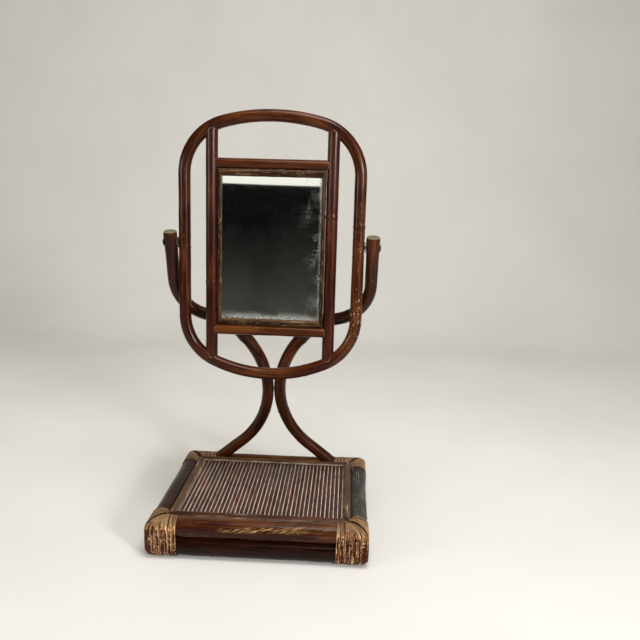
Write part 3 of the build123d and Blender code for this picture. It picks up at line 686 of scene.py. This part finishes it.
def half_round(name, width, height, edge, length, cuts, sides):
    """A straight half-round strip along X about the origin, flat side down."""
    bpy.ops.object.select_all(action="DESELECT")
    bpy.ops.mesh.primitive_circle_add(
        vertices=2 * sides, radius=width / 2, location=(-length / 2, 0, 0), rotation=(0, pi / 2, 0))
    strip = bpy.context.object
    strip.name = name
    bpy.ops.object.transform_apply(location=True, rotation=True, scale=True)
    mode("EDIT")
    bpy.ops.mesh.select_all(action="SELECT")
    bpy.ops.mesh.bisect(plane_co=(0, 0, -0.01 * mm), plane_no=(0, 0, 1), clear_inner=True)
    bpy.ops.mesh.select_all(action="SELECT")
    bpy.ops.transform.resize(value=(1, 1, (height - edge) / (width / 2)), center_override=(0, 0, 0))
    bpy.ops.transform.translate(value=(0, 0, edge))
    bpy.ops.mesh.edge_face_add()
    bpy.ops.mesh.extrude_repeat(steps=cuts, offset=(length / cuts, 0, 0))
    turn_faces_out()
    write_value(strip, "grain", read_points(strip))
    return strip


reed = half_round("reed", reed_width, reed_height, reed_edge, reed_length, 24, 8)
reeds = []
chance = random.Random(7)
for number in range(reed_count):
    one = reed.copy()
    one.data = reed.data.copy()
    bpy.context.collection.objects.link(one)
    along, across, up = read_points(one).T
    bow, phase, tall = chance.uniform(-0.12, 0.12) * mm, chance.uniform(0, 6), chance.uniform(0.9, 1.0)
    one.data.attributes.remove(one.data.attributes["grain"])
    write_value(one, "grain", np.stack([along + number * 0.37, across, up], axis=1))
    aside = (number - (reed_count - 1) / 2) * reed_pitch + bow * np.sin(along * 30 + phase)
    write_points(one, np.stack([aside - across, along, board_top + up * tall], axis=1))
    reeds.append(one)
bpy.data.objects.remove(reed)
bpy.ops.object.select_all(action="DESELECT")
bpy.ops.mesh.primitive_cube_add(size=1, location=(0, 0, board_top + glue_height / 2))
glue = bpy.context.object
glue.scale = (195.2 * mm, 150 * mm, glue_height)
bpy.ops.object.transform_apply(location=True, rotation=True, scale=True)
mode("EDIT")
bpy.ops.mesh.subdivide(number_cuts=60)
mode("OBJECT")
points = read_points(glue)
top = points[:, 2] > board_top + glue_height - 0.1 * mm
points[top, 2] += [0.25 * mm * noise.noise(Vector(point) * 220) for point in points[top]]
write_points(glue, points)
grain = np.stack([points[:, 1], np.full(len(points), 0.01), points[:, 0]], axis=1)
write_value(glue, "grain", grain)
pick(*reeds, glue)
bpy.ops.object.join()
panel_reeds = bpy.context.object
panel_reeds.name = "split_reeds"
mode("EDIT")
turn_faces_out()
smooth(panel_reeds, 50)

reed_finish, surface = start_finish("dusty_reed")
grain = read_value(surface, "grain", 1)
fibres = grain_noise(grain, (30, 1900, 1900), 4, 0.6)
tone = grain_noise(grain, (14, 3, 3), 3, 0.5, (3, 0, 0))
level = plus(times(fibres, 0.45), times(tone, 0.55))
stain = grade(level, (0.38, (16, 5, 2)), (0.5, (50, 20, 9)), (0.64, (96, 52, 30)))
film = band(grain_noise(grain, (240, 700, 700), 5, 0.7, (6, 1, 2)), 0.5, 0.66)
colour = mix(times(film, 0.22), stain, (150, 128, 110))
drift = grain_noise(grain, (60, 500, 500), 4, 0.6, (1, 4, 2))
from_crest = plus(work("ABSOLUTE", axis(grain, 1)), times(drift, 0.0009))
dust = band(from_crest, 0.00245, 0.0027, 0.0, 0.92)
powder = grade(drift, (0.34, (140, 118, 100)), (0.52, (220, 206, 190)))
rough = band(dust, 0.0, 1.0, 0.34, 0.85)
feed(surface, {"Base Color": mix(dust, colour, powder), "Roughness": rough, "Specular IOR Level": 0.12})
feed(surface, {"Normal": relief(fibres, 0.4, 0.0003)})
panel_reeds.data.materials.append(reed_finish)
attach(panel_reeds, "stand")
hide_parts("panel_reeds")

plywood = plain_finish(
    "panel_plywood", (120, 84, 54), (164, 124, 84), (12, 380, 380), 0.7, speck=(88, 60, 40))
softwood = plain_finish("cleat_softwood", (170, 128, 80), (204, 166, 116), (420, 10, 420), 0.68)
dress("panel_board", plywood)
dress("panel_cleats", softwood)

# Four half-round trims frame the reeds and cover the joint to the poles. They are
# stained like the poles, dusty along their edges and mitred at the corners, and the
# mitre at the front right has opened into a crack, with a dark band painted along it
# as the shade inside.
trim_width, trim_height, trim_edge = 9 * mm, 4.2 * mm, 0.5 * mm
trim_base = 42.05 * mm
trim_x, trim_y = 100.35 * mm, 77.35 * mm
crack_width = 0.7 * mm
# Both trim stains paint a dark band along the front right mitre: painted shade in its crack.
trim_stain = stained(
    "trim_stain", (20, 8, 4), (52, 25, 13), (100, 64, 38), (186, 156, 124),
    wear_and_top_light=0.35, chips=0.2, joint_colour=(12, 7, 4), gloss=0.34, shift=2.0, scuffs=0.5, dust=0.3, shine=0.1)
dusty_trim_stain = stained(
    "dusty_trim_stain", (20, 11, 6), (56, 36, 22), (112, 84, 54), (186, 160, 124),
    wear_and_top_light=0.35, chips=0.3, joint_colour=(12, 7, 4), gloss=0.4, shift=3.0, scuffs=0.8, dust=0.8, shine=0.1)


def cut_mitres(strip, length, width_here, width_there, gaps=(0.1 * mm, 0.1 * mm)):
    """Cuts both ends of a strip to the mitre: the inner edge, at +Y, is the shorter one."""
    pick(strip)
    mode("EDIT")
    for sign, gap in zip((-1, 1), gaps):
        bpy.ops.mesh.select_all(action="SELECT")
        corner = (sign * (length / 2 - gap), -width_here / 2, 0)
        normal = Vector((width_here, sign * width_there, 0)).normalized() * sign
        bpy.ops.mesh.bisect(plane_co=corner, plane_no=normal, use_fill=True, clear_outer=True)
    turn_faces_out()


def unevenness(piece, amount, scale, seed):
    """Moves each point a little along its normal, as worn and hand-cut wood is."""
    for vertex in piece.data.vertices:
        vertex.co += vertex.normal * noise.noise(vertex.co * scale + Vector((seed, 0, 0))) * amount


# The line of the crack, along which the trims are painted dark as the shade inside it.
crack = []
for out in np.linspace(-trim_width / 2, trim_width / 2, 60):
    rise = (trim_height - trim_edge) * (1 - (2 * out / trim_width) ** 2) ** 0.5
    crack.append((trim_x + out, -trim_y - out + 0.65 * mm, trim_base + trim_edge + rise))
trim_sides = {
    "front": ((0, -trim_y), 0, 2 * trim_x + trim_width, (0.1, 0.7)),
    "right": ((trim_x, 0), 90, 2 * trim_y + trim_width, (2.0, 0.1)),
    "rear": ((0, trim_y), 180, 2 * trim_x + trim_width, (0.1, 0.1)),
    "left": ((-trim_x, 0), 270, 2 * trim_y + trim_width, (0.1, 0.1)),
}
for count, (side, (place, turn, length, gaps)) in enumerate(trim_sides.items()):
    trim = half_round(f"{side}_trim", trim_width, trim_height, trim_edge, length, int(length / (3 * mm)), 12)
    cut_mitres(trim, length, trim_width, trim_width, [gap * mm for gap in gaps])
    unevenness(trim, 0.35 * mm, 90, count * 5.0)
    trim.data.transform(Matrix.Translation((*place, trim_base)) @ Matrix.Rotation(radians(turn), 4, "Z"))
    wear_in(trim, trim_stain if side == "front" else dusty_trim_stain, [(crack, crack_width)], angle=45)
    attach(trim, "stand")
    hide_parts(f"panel_trim_{side}")

# The legs: two rattan poles 15.5 mm thick, bent like brackets and pegged back to back.
# Their feet are coped to the upper rear pole and their tops to the yoke, in a plane
# that leans 14 degrees to the front.
stand_lean = radians(14)
stand_foot = Vector((0, half_depth - pole_radius, upper_axis))
up_stand = Vector((0, -sin(stand_lean), cos(stand_lean)))
towards_user = Vector((0, -cos(stand_lean), -sin(stand_lean)))
stand_radius = 7.75 * mm
foot_x, foot_slope, foot_run = 86.48 * mm, radians(42), 54.6 * mm
touch_x, touch_height = 7.85 * mm, 122 * mm
leg_lower_bend, leg_upper_bend = 115 * mm, 120 * mm
leg_lower_turn, leg_top_turn = 48, 59.31
leg_collar = 234 * mm
yoke_bow, yoke_bow_centre = 430 * mm, 650 * mm


def on_stand(x, height):
    """A point of the stand's plane: across, and up the stand."""
    return stand_foot + to_right * x + up_stand * height


def resize_rings(pole, shares):
    """Makes a pole thicker or thinner along its length."""
    rings = read_points(pole).reshape(-1, around, 3)
    centres = rings.mean(axis=1, keepdims=True)
    write_points(pole, centres + (rings - centres) * shares[:, None, None])


leg_stain = stained(
    "leg_stain", (14, 3, 1), (50, 20, 7), (104, 52, 16), (176, 136, 98),
    wear_and_top_light=0.4, chips=0.08, joint_colour=(20, 11, 7), shift=6.0)
rear_pole_line = [(x * mm, half_depth - pole_radius, upper_axis) for x in range(-125, 126, 2)]
bow_line = []
for turn in np.radians(np.linspace(-11, 11, 90)):
    bow_line.append(on_stand(yoke_bow * sin(turn), yoke_bow_centre - yoke_bow * cos(turn)))
for sign, hand in ((-1, "left"), (1, "right")):
    start = on_stand(sign * foot_x, 0)
    heading = to_right * -sign * cos(foot_slope) + up_stand * sin(foot_slope)
    route = [(0, foot_run), (leg_lower_bend, -leg_lower_turn * sign), (leg_upper_bend, -leg_top_turn * sign)]
    leg = draw_pole(f"{hand}_leg_rattan", start, heading, towards_user, stand_radius, route)
    spans = weather(leg, 0.2 * mm, sign * 8, [118 * mm], 5 + sign)
    collar = 0.13 * np.exp(-((spans - leg_collar) / (4.5 * mm)) ** 2)
    resize_rings(leg, 1 + collar + 0.05 * (spans > leg_collar))
    close_ends(leg)
    wear_in(leg, leg_stain, [(rear_pole_line, pole_radius), (bow_line, stand_radius)])
    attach(leg, "stand")
    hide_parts(f"leg_{hand}")
for node in ("foot_dowels", "leg_dowel", "yoke_dowels"):
    dress(node, dowel_wood)

# The yoke: one rattan pole bent into a wide U that carries the mirror between its
# arms. The arms stand upright, their tips swell to 17 mm and are sawn off square, and
# the sawn ends show grey-green pores inside a rim of bare cane.
yoke_half, yoke_tip = 120.525 * mm, 335 * mm
yoke_corner, yoke_corner_turn, yoke_bow_turn = 48 * mm, 79.055, 21.89
arm_foot = 274.95 * mm
tip_radius, tip_swell, tip_rim, pith_radius = 8.5 * mm, 30 * mm, 0.9 * mm, 6.9 * mm
arm = [(0, yoke_tip - arm_foot), (yoke_corner, yoke_corner_turn)]
yoke = draw_pole(
    "yoke_rattan", on_stand(-yoke_half, yoke_tip), -up_stand, towards_user, stand_radius,
    arm + [(yoke_bow, yoke_bow_turn)] + arm[::-1])
spans = weather(yoke, 0.2 * mm, 2.5, [150 * mm, 305 * mm], 11)
from_tip = np.minimum(spans, spans[-1] - spans)
flare = 1 + np.clip((tip_swell - from_tip) / tip_swell, 0, 1) * (tip_radius / stand_radius - 1)
resize_rings(yoke, np.where(from_tip < 0.2 * mm, flare * 0.93, flare))
close_ends(yoke, tip_rim)
leg_lines = [[], []]
for turn in np.linspace(0.5, radians(leg_top_turn), 80):
    for sign, line in zip((-1, 1), leg_lines):
        x = touch_x + leg_upper_bend * (1 - cos(turn))
        line.append(on_stand(sign * x, touch_height + leg_upper_bend * sin(turn)))
yoke_top_z = on_stand(0, yoke_tip).z
yoke_stain = stained(
    "yoke_stain", (12, 3, 1), (46, 17, 7), (100, 53, 22), (184, 146, 106),
    wear_and_top_light=0.35, chips=0.1, joint_colour=(20, 11, 7), shift=12.0)
wear_in(
    yoke, yoke_stain, [(line, stand_radius) for line in leg_lines],
    lambda x, y, z: 0.35 * max(0, 1 - abs(z - yoke_top_z) / (16 * mm)))

sawn_end, surface = start_finish("sawn_cane_end")
where = position(surface)
pores = put("ShaderNodeTexVoronoi", {"Vector": where, "Scale": 1700.0}, feature="F1")
dirt = grain_noise(where, (420, 420, 420), 4, 0.6)
ground = grade(dirt, (0.32, (68, 64, 48)), (0.55, (106, 100, 78)), (0.72, (150, 140, 112)))
colour = mix(band(pores, 0.12, 0.3, 0.8, 0.0), ground, (46, 38, 28))
feed(surface, {"Base Color": colour, "Roughness": 0.78, "Normal": relief(pores, 0.7, 0.0004)})
bare_rim = plain_finish(
    "bare_cane_rim", (108, 76, 48), (160, 126, 88), (700, 700, 700), 0.6, speck=(84, 48, 30))
yoke.data.materials.append(sawn_end)
yoke.data.materials.append(bare_rim)
for face in yoke.data.polygons:
    tip = on_stand(yoke_half if face.center.x > 0 else -yoke_half, yoke_tip)
    below = (tip - face.center).dot(up_stand)
    if below < 1.2 * mm:
        away = (face.center - tip).length
        face.material_index = 1 if away < pith_radius else 2 if below < 0.25 * mm else 0
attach(yoke, "stand")
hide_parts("yoke")

# The mirror's outer loop: one rattan pole 14.5 mm thick, bent into a closed ring with
# a crowned top and bottom and upright sides. Both arches are painted lighter, orange-brown,
# on their upper faces, as worn stain and as painted light from above, the top arch a little
# more near its middle, and the right side has small pale chips.
mirror_tilt = radians(2)
pivot = Vector((0, 12.851 * mm, 347.235 * mm))
up_mirror = Vector((0, sin(mirror_tilt), cos(mirror_tilt)))
out_of_glass = Vector((0, -cos(mirror_tilt), sin(mirror_tilt)))
loop_radius, loop_top = 7.25 * mm, 148.2 * mm
top_crown, bottom_crown, loop_corner, loop_side = 220 * mm, 165 * mm, 62 * mm, 167.42 * mm
top_turn, shoulder_turn, hip_turn, bottom_turn = -15.23, -74.77, -66.24, -47.52
post_x, post_radius = 71 * mm, 7.25 * mm


def on_mirror(x, height):
    """A point of the mirror's plane: across, and up from the pivot."""
    return pivot + to_right * x + up_mirror * height


def loop_chips(x, y, z):
    """The right side is chipped beside its bolt and rubbed golden where it bends in below."""
    up = z - pivot.z
    beside_bolt = max(0, 1 - abs(up - 4 * mm) / (62 * mm)) ** 0.5 if x > 90 * mm else 0
    lower_bend = max(0, 1 - abs(up + 82 * mm) / (55 * mm)) ** 0.5 if x > 50 * mm else 0
    top_arch = 0.35 * max(0, 1 - abs(x + 20 * mm) / (90 * mm)) if up > 100 * mm else 0
    return max(0.7 * beside_bolt, 0.85 * lower_bend, top_arch)


half_route = [(top_crown, top_turn), (loop_corner, shoulder_turn), (0, loop_side), (loop_corner, hip_turn)]
loop = draw_pole(
    "loop_rattan", on_mirror(0, loop_top), to_right, out_of_glass, loop_radius,
    half_route + [(bottom_crown, bottom_turn)] + half_route[::-1])
weather(loop, 0.22 * mm, 5.5, [196 * mm, 402 * mm, 668 * mm], 20)
loop_line = read_points(loop).reshape(-1, around, 3).mean(axis=1)
pick(loop)
mode("EDIT")
bpy.ops.mesh.select_all(action="SELECT")
bpy.ops.mesh.remove_doubles(threshold=0.5 * mm)
turn_faces_out()
posts = []
for sign in (-1, 1):
    posts.append(([on_mirror(sign * post_x, s * mm) for s in range(-150, 143, 2)], post_radius))
loop_stain = stained(
    "loop_stain", (12, 2, 0), (53, 20, 7), (106, 59, 21), (204, 170, 134),
    wear_and_top_light=0.3, chips=0.08, joint_colour=(30, 20, 13), shift=21.0)
wear_in(loop, loop_stain, posts, loop_chips)
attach(loop, "mirror")
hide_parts("mirror_loop")

# Two posts stand inside the loop and two thinner rails run between them. Their ends
# are coped to fit round the pole they meet, pegged and glued, and the coped edges are
# rubbed to bare cane.
rail_radius, rail_pitch = 6.25 * mm, 2 * mm
rail_heights = {"upper": 93.3 * mm, "lower": -103.8 * mm}
post_stain = stained(
    "post_stain", (16, 3, 1), (53, 18, 7), (94, 42, 17), (190, 150, 118),
    wear_and_top_light=0.3, chips=0.08, joint_colour=(138, 100, 70), gloss=0.24, shift=31.0)
rail_stain = stained(
    "rail_stain", (20, 5, 1), (64, 28, 8), (110, 62, 21), (190, 150, 110),
    wear_and_top_light=0.35, chips=0.1, joint_colour=(136, 98, 62), shift=41.0)


def round_shoulders(pole, spans, fall, reach):
    """Rounds the coped ends, so that the pole narrows a little where it meets the other."""
    from_end = np.minimum(spans, spans[-1] - spans)
    resize_rings(pole, 1 - fall / loop_radius * np.clip(1 - from_end / reach, 0, 1) ** 2)


for sign, hand in ((-1, "left"), (1, "right")):
    ends = []
    for aim in (-1, 1):
        near = [p for p in loop_line if abs(p[0] - sign * post_x) < 3 * mm and (p[2] - pivot.z) * aim > 0]
        ends.append((Vector(np.mean(near, axis=0)) - pivot).dot(up_mirror))
    post = draw_pole(
        f"{hand}_post_rattan", on_mirror(sign * post_x, ends[0]), up_mirror, out_of_glass,
        post_radius - 0.05 * mm, [(0, ends[1] - ends[0])], rail_pitch)
    spans = weather(post, 0.15 * mm, sign * 12, [95 * mm if sign < 0 else 176 * mm], 30 + sign)
    round_shoulders(post, spans, 1.2 * mm, 5 * mm)
    close_ends(post)
    wear_in(post, post_stain, [(loop_line, loop_radius)])
    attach(post, "mirror")
    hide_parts(f"mirror_post_{hand}")
for level, height in rail_heights.items():
    rail = draw_pole(
        f"{level}_rail_rattan", on_mirror(-post_x + 1 * mm, height), to_right, out_of_glass,
        rail_radius, [(0, 2 * post_x - 2 * mm)], rail_pitch)
    spans = weather(rail, 0.15 * mm, height * 100, [52 * mm] if level == "lower" else [], 40 + height * 20)
    round_shoulders(rail, spans, 0.8 * mm, 6 * mm)
    close_ends(rail)
    wear_in(rail, rail_stain, posts)
    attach(rail, "mirror")
    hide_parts(f"mirror_rail_{level}")
dress("post_dowels", dowel_wood)
dress("rail_dowels", dowel_wood)

# Four half-round mouldings hold the glass from the front, mitred at the corners. Their
# stain has rubbed through in streaks and flecks down to the golden wood.
moulding_stain = stained(
    "moulding_stain", (4, 1, 0), (32, 15, 7), (102, 74, 45), (170, 138, 96),
    wear_and_top_light=0.55, chips=0.5, gloss=0.36, shift=51.0, scuffs=0.6, shine=0.1)
glass_low = -5.25 * mm
sight_x, sight_y = 58.5 * mm, 84 * mm
narrow, broad = 5.15 * mm, 8.2 * mm
moulding_height, moulding_edge, moulding_base = 4.2 * mm, 1.0 * mm, 1.55 * mm
edge_x, edge_y = sight_x + narrow, sight_y + broad
mouldings = {
    "lower": ((0, glass_low - edge_y + broad / 2), 0, 2 * edge_x, broad, narrow),
    "right": ((edge_x - narrow / 2, glass_low), 90, 2 * edge_y, narrow, broad),
    "upper": ((0, glass_low + edge_y - broad / 2), 180, 2 * edge_x, broad, narrow),
    "left": ((-edge_x + narrow / 2, glass_low), 270, 2 * edge_y, narrow, broad),
}
to_mirror = Matrix((to_right, up_mirror, out_of_glass)).transposed().to_4x4()
to_mirror.translation = pivot
for count, (side, (place, turn, length, here, there)) in enumerate(mouldings.items()):
    cuts = int(length / (2.5 * mm))
    moulding = half_round(f"{side}_moulding", here, moulding_height, moulding_edge, length, cuts, 10)
    cut_mitres(moulding, length, here, there)
    unevenness(moulding, 0.3 * mm, 160, 20 + count * 5.0)
    on_glass = Matrix.Translation((*place, moulding_base)) @ Matrix.Rotation(radians(turn), 4, "Z")
    moulding.data.transform(to_mirror @ on_glass)
    wear_in(moulding, moulding_stain, angle=45)
    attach(moulding, "mirror")
    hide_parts(f"glass_moulding_{side}")

# The glass is a plain 3 mm mirror. Its silvering has gone cloudy and speckled along the
# bottom and the sides, and faint dust lies over all of it. A thin board behind it is
# held by brads in the posts and rails.
mirror_glass, surface = start_finish("aged_mirror")
where = position(surface)
flat = put("ShaderNodeMapping", {0: where, 1: (0, 0, -0.342)})
aside = axis(flat, 0)
blooms = grain_noise(where, (55, 55, 55), 5, 0.65)
specks = grain_noise(where, (520, 520, 520), 4, 0.7, (3, 1, 2))
crumbs = grain_noise(where, (1050, 1050, 1050), 3, 0.6, (8, 1, 2))
near_edge = work("MINIMUM", times(minus(sight_x, aside), 2.6), plus(axis(flat, 2), sight_y))
reach = minus(near_edge, times(blooms, 0.018))
cloud = times(band(reach, -0.014, 0.004, 1.0, 0.0), band(crumbs, 0.36, 0.62, 0.15, 1.0))
right_side = band(aside, 0.008, 0.060, 0.0, 0.16)
haze = plus(times(right_side, band(blooms, 0.36, 0.60)), crumbs)
cloud = work("MAXIMUM", times(cloud, 0.66), times(band(haze, 0.70, 0.76), 0.36))
cloud = work("MAXIMUM", cloud, band(crumbs, 0.56, 0.74, 0.0, 0.16))
spots = times(band(specks, 0.66, 0.70), band(reach, 0.0, 0.03, 0.6, 0.05))
colour = mix(cloud, mix(spots, (228, 231, 228), (58, 54, 44)), (176, 176, 164))
feed(surface, {"Base Color": colour, "Metallic": band(cloud, 0.0, 0.8, 1.0, 0.25)})
feed(surface, {"Roughness": band(cloud, 0.0, 0.8, 0.02, 0.55)})
hardboard = plain_finish(
    "brown_hardboard", (92, 62, 38), (124, 88, 56), (160, 160, 60), 0.72, speck=(70, 46, 28))
dress("mirror_glass", mirror_glass)
dress("backing_board", hardboard)
dress("backing_brads", nail_steel)

# The mirror swings on two steel bolts. Each goes through an arm of the yoke and a thin
# washer into the side of the loop, and its round head sits in a shallow seat.
bolt_steel = plain_finish(
    "dark_bolt_steel", (38, 32, 28), (88, 78, 68), (500, 500, 500), 0.42, metal=0.85, speck=(96, 56, 34))
dress("pivot_bolt_left", bolt_steel)
dress("pivot_bolt_right", bolt_steel)
dress("pivot_washers", nail_steel)
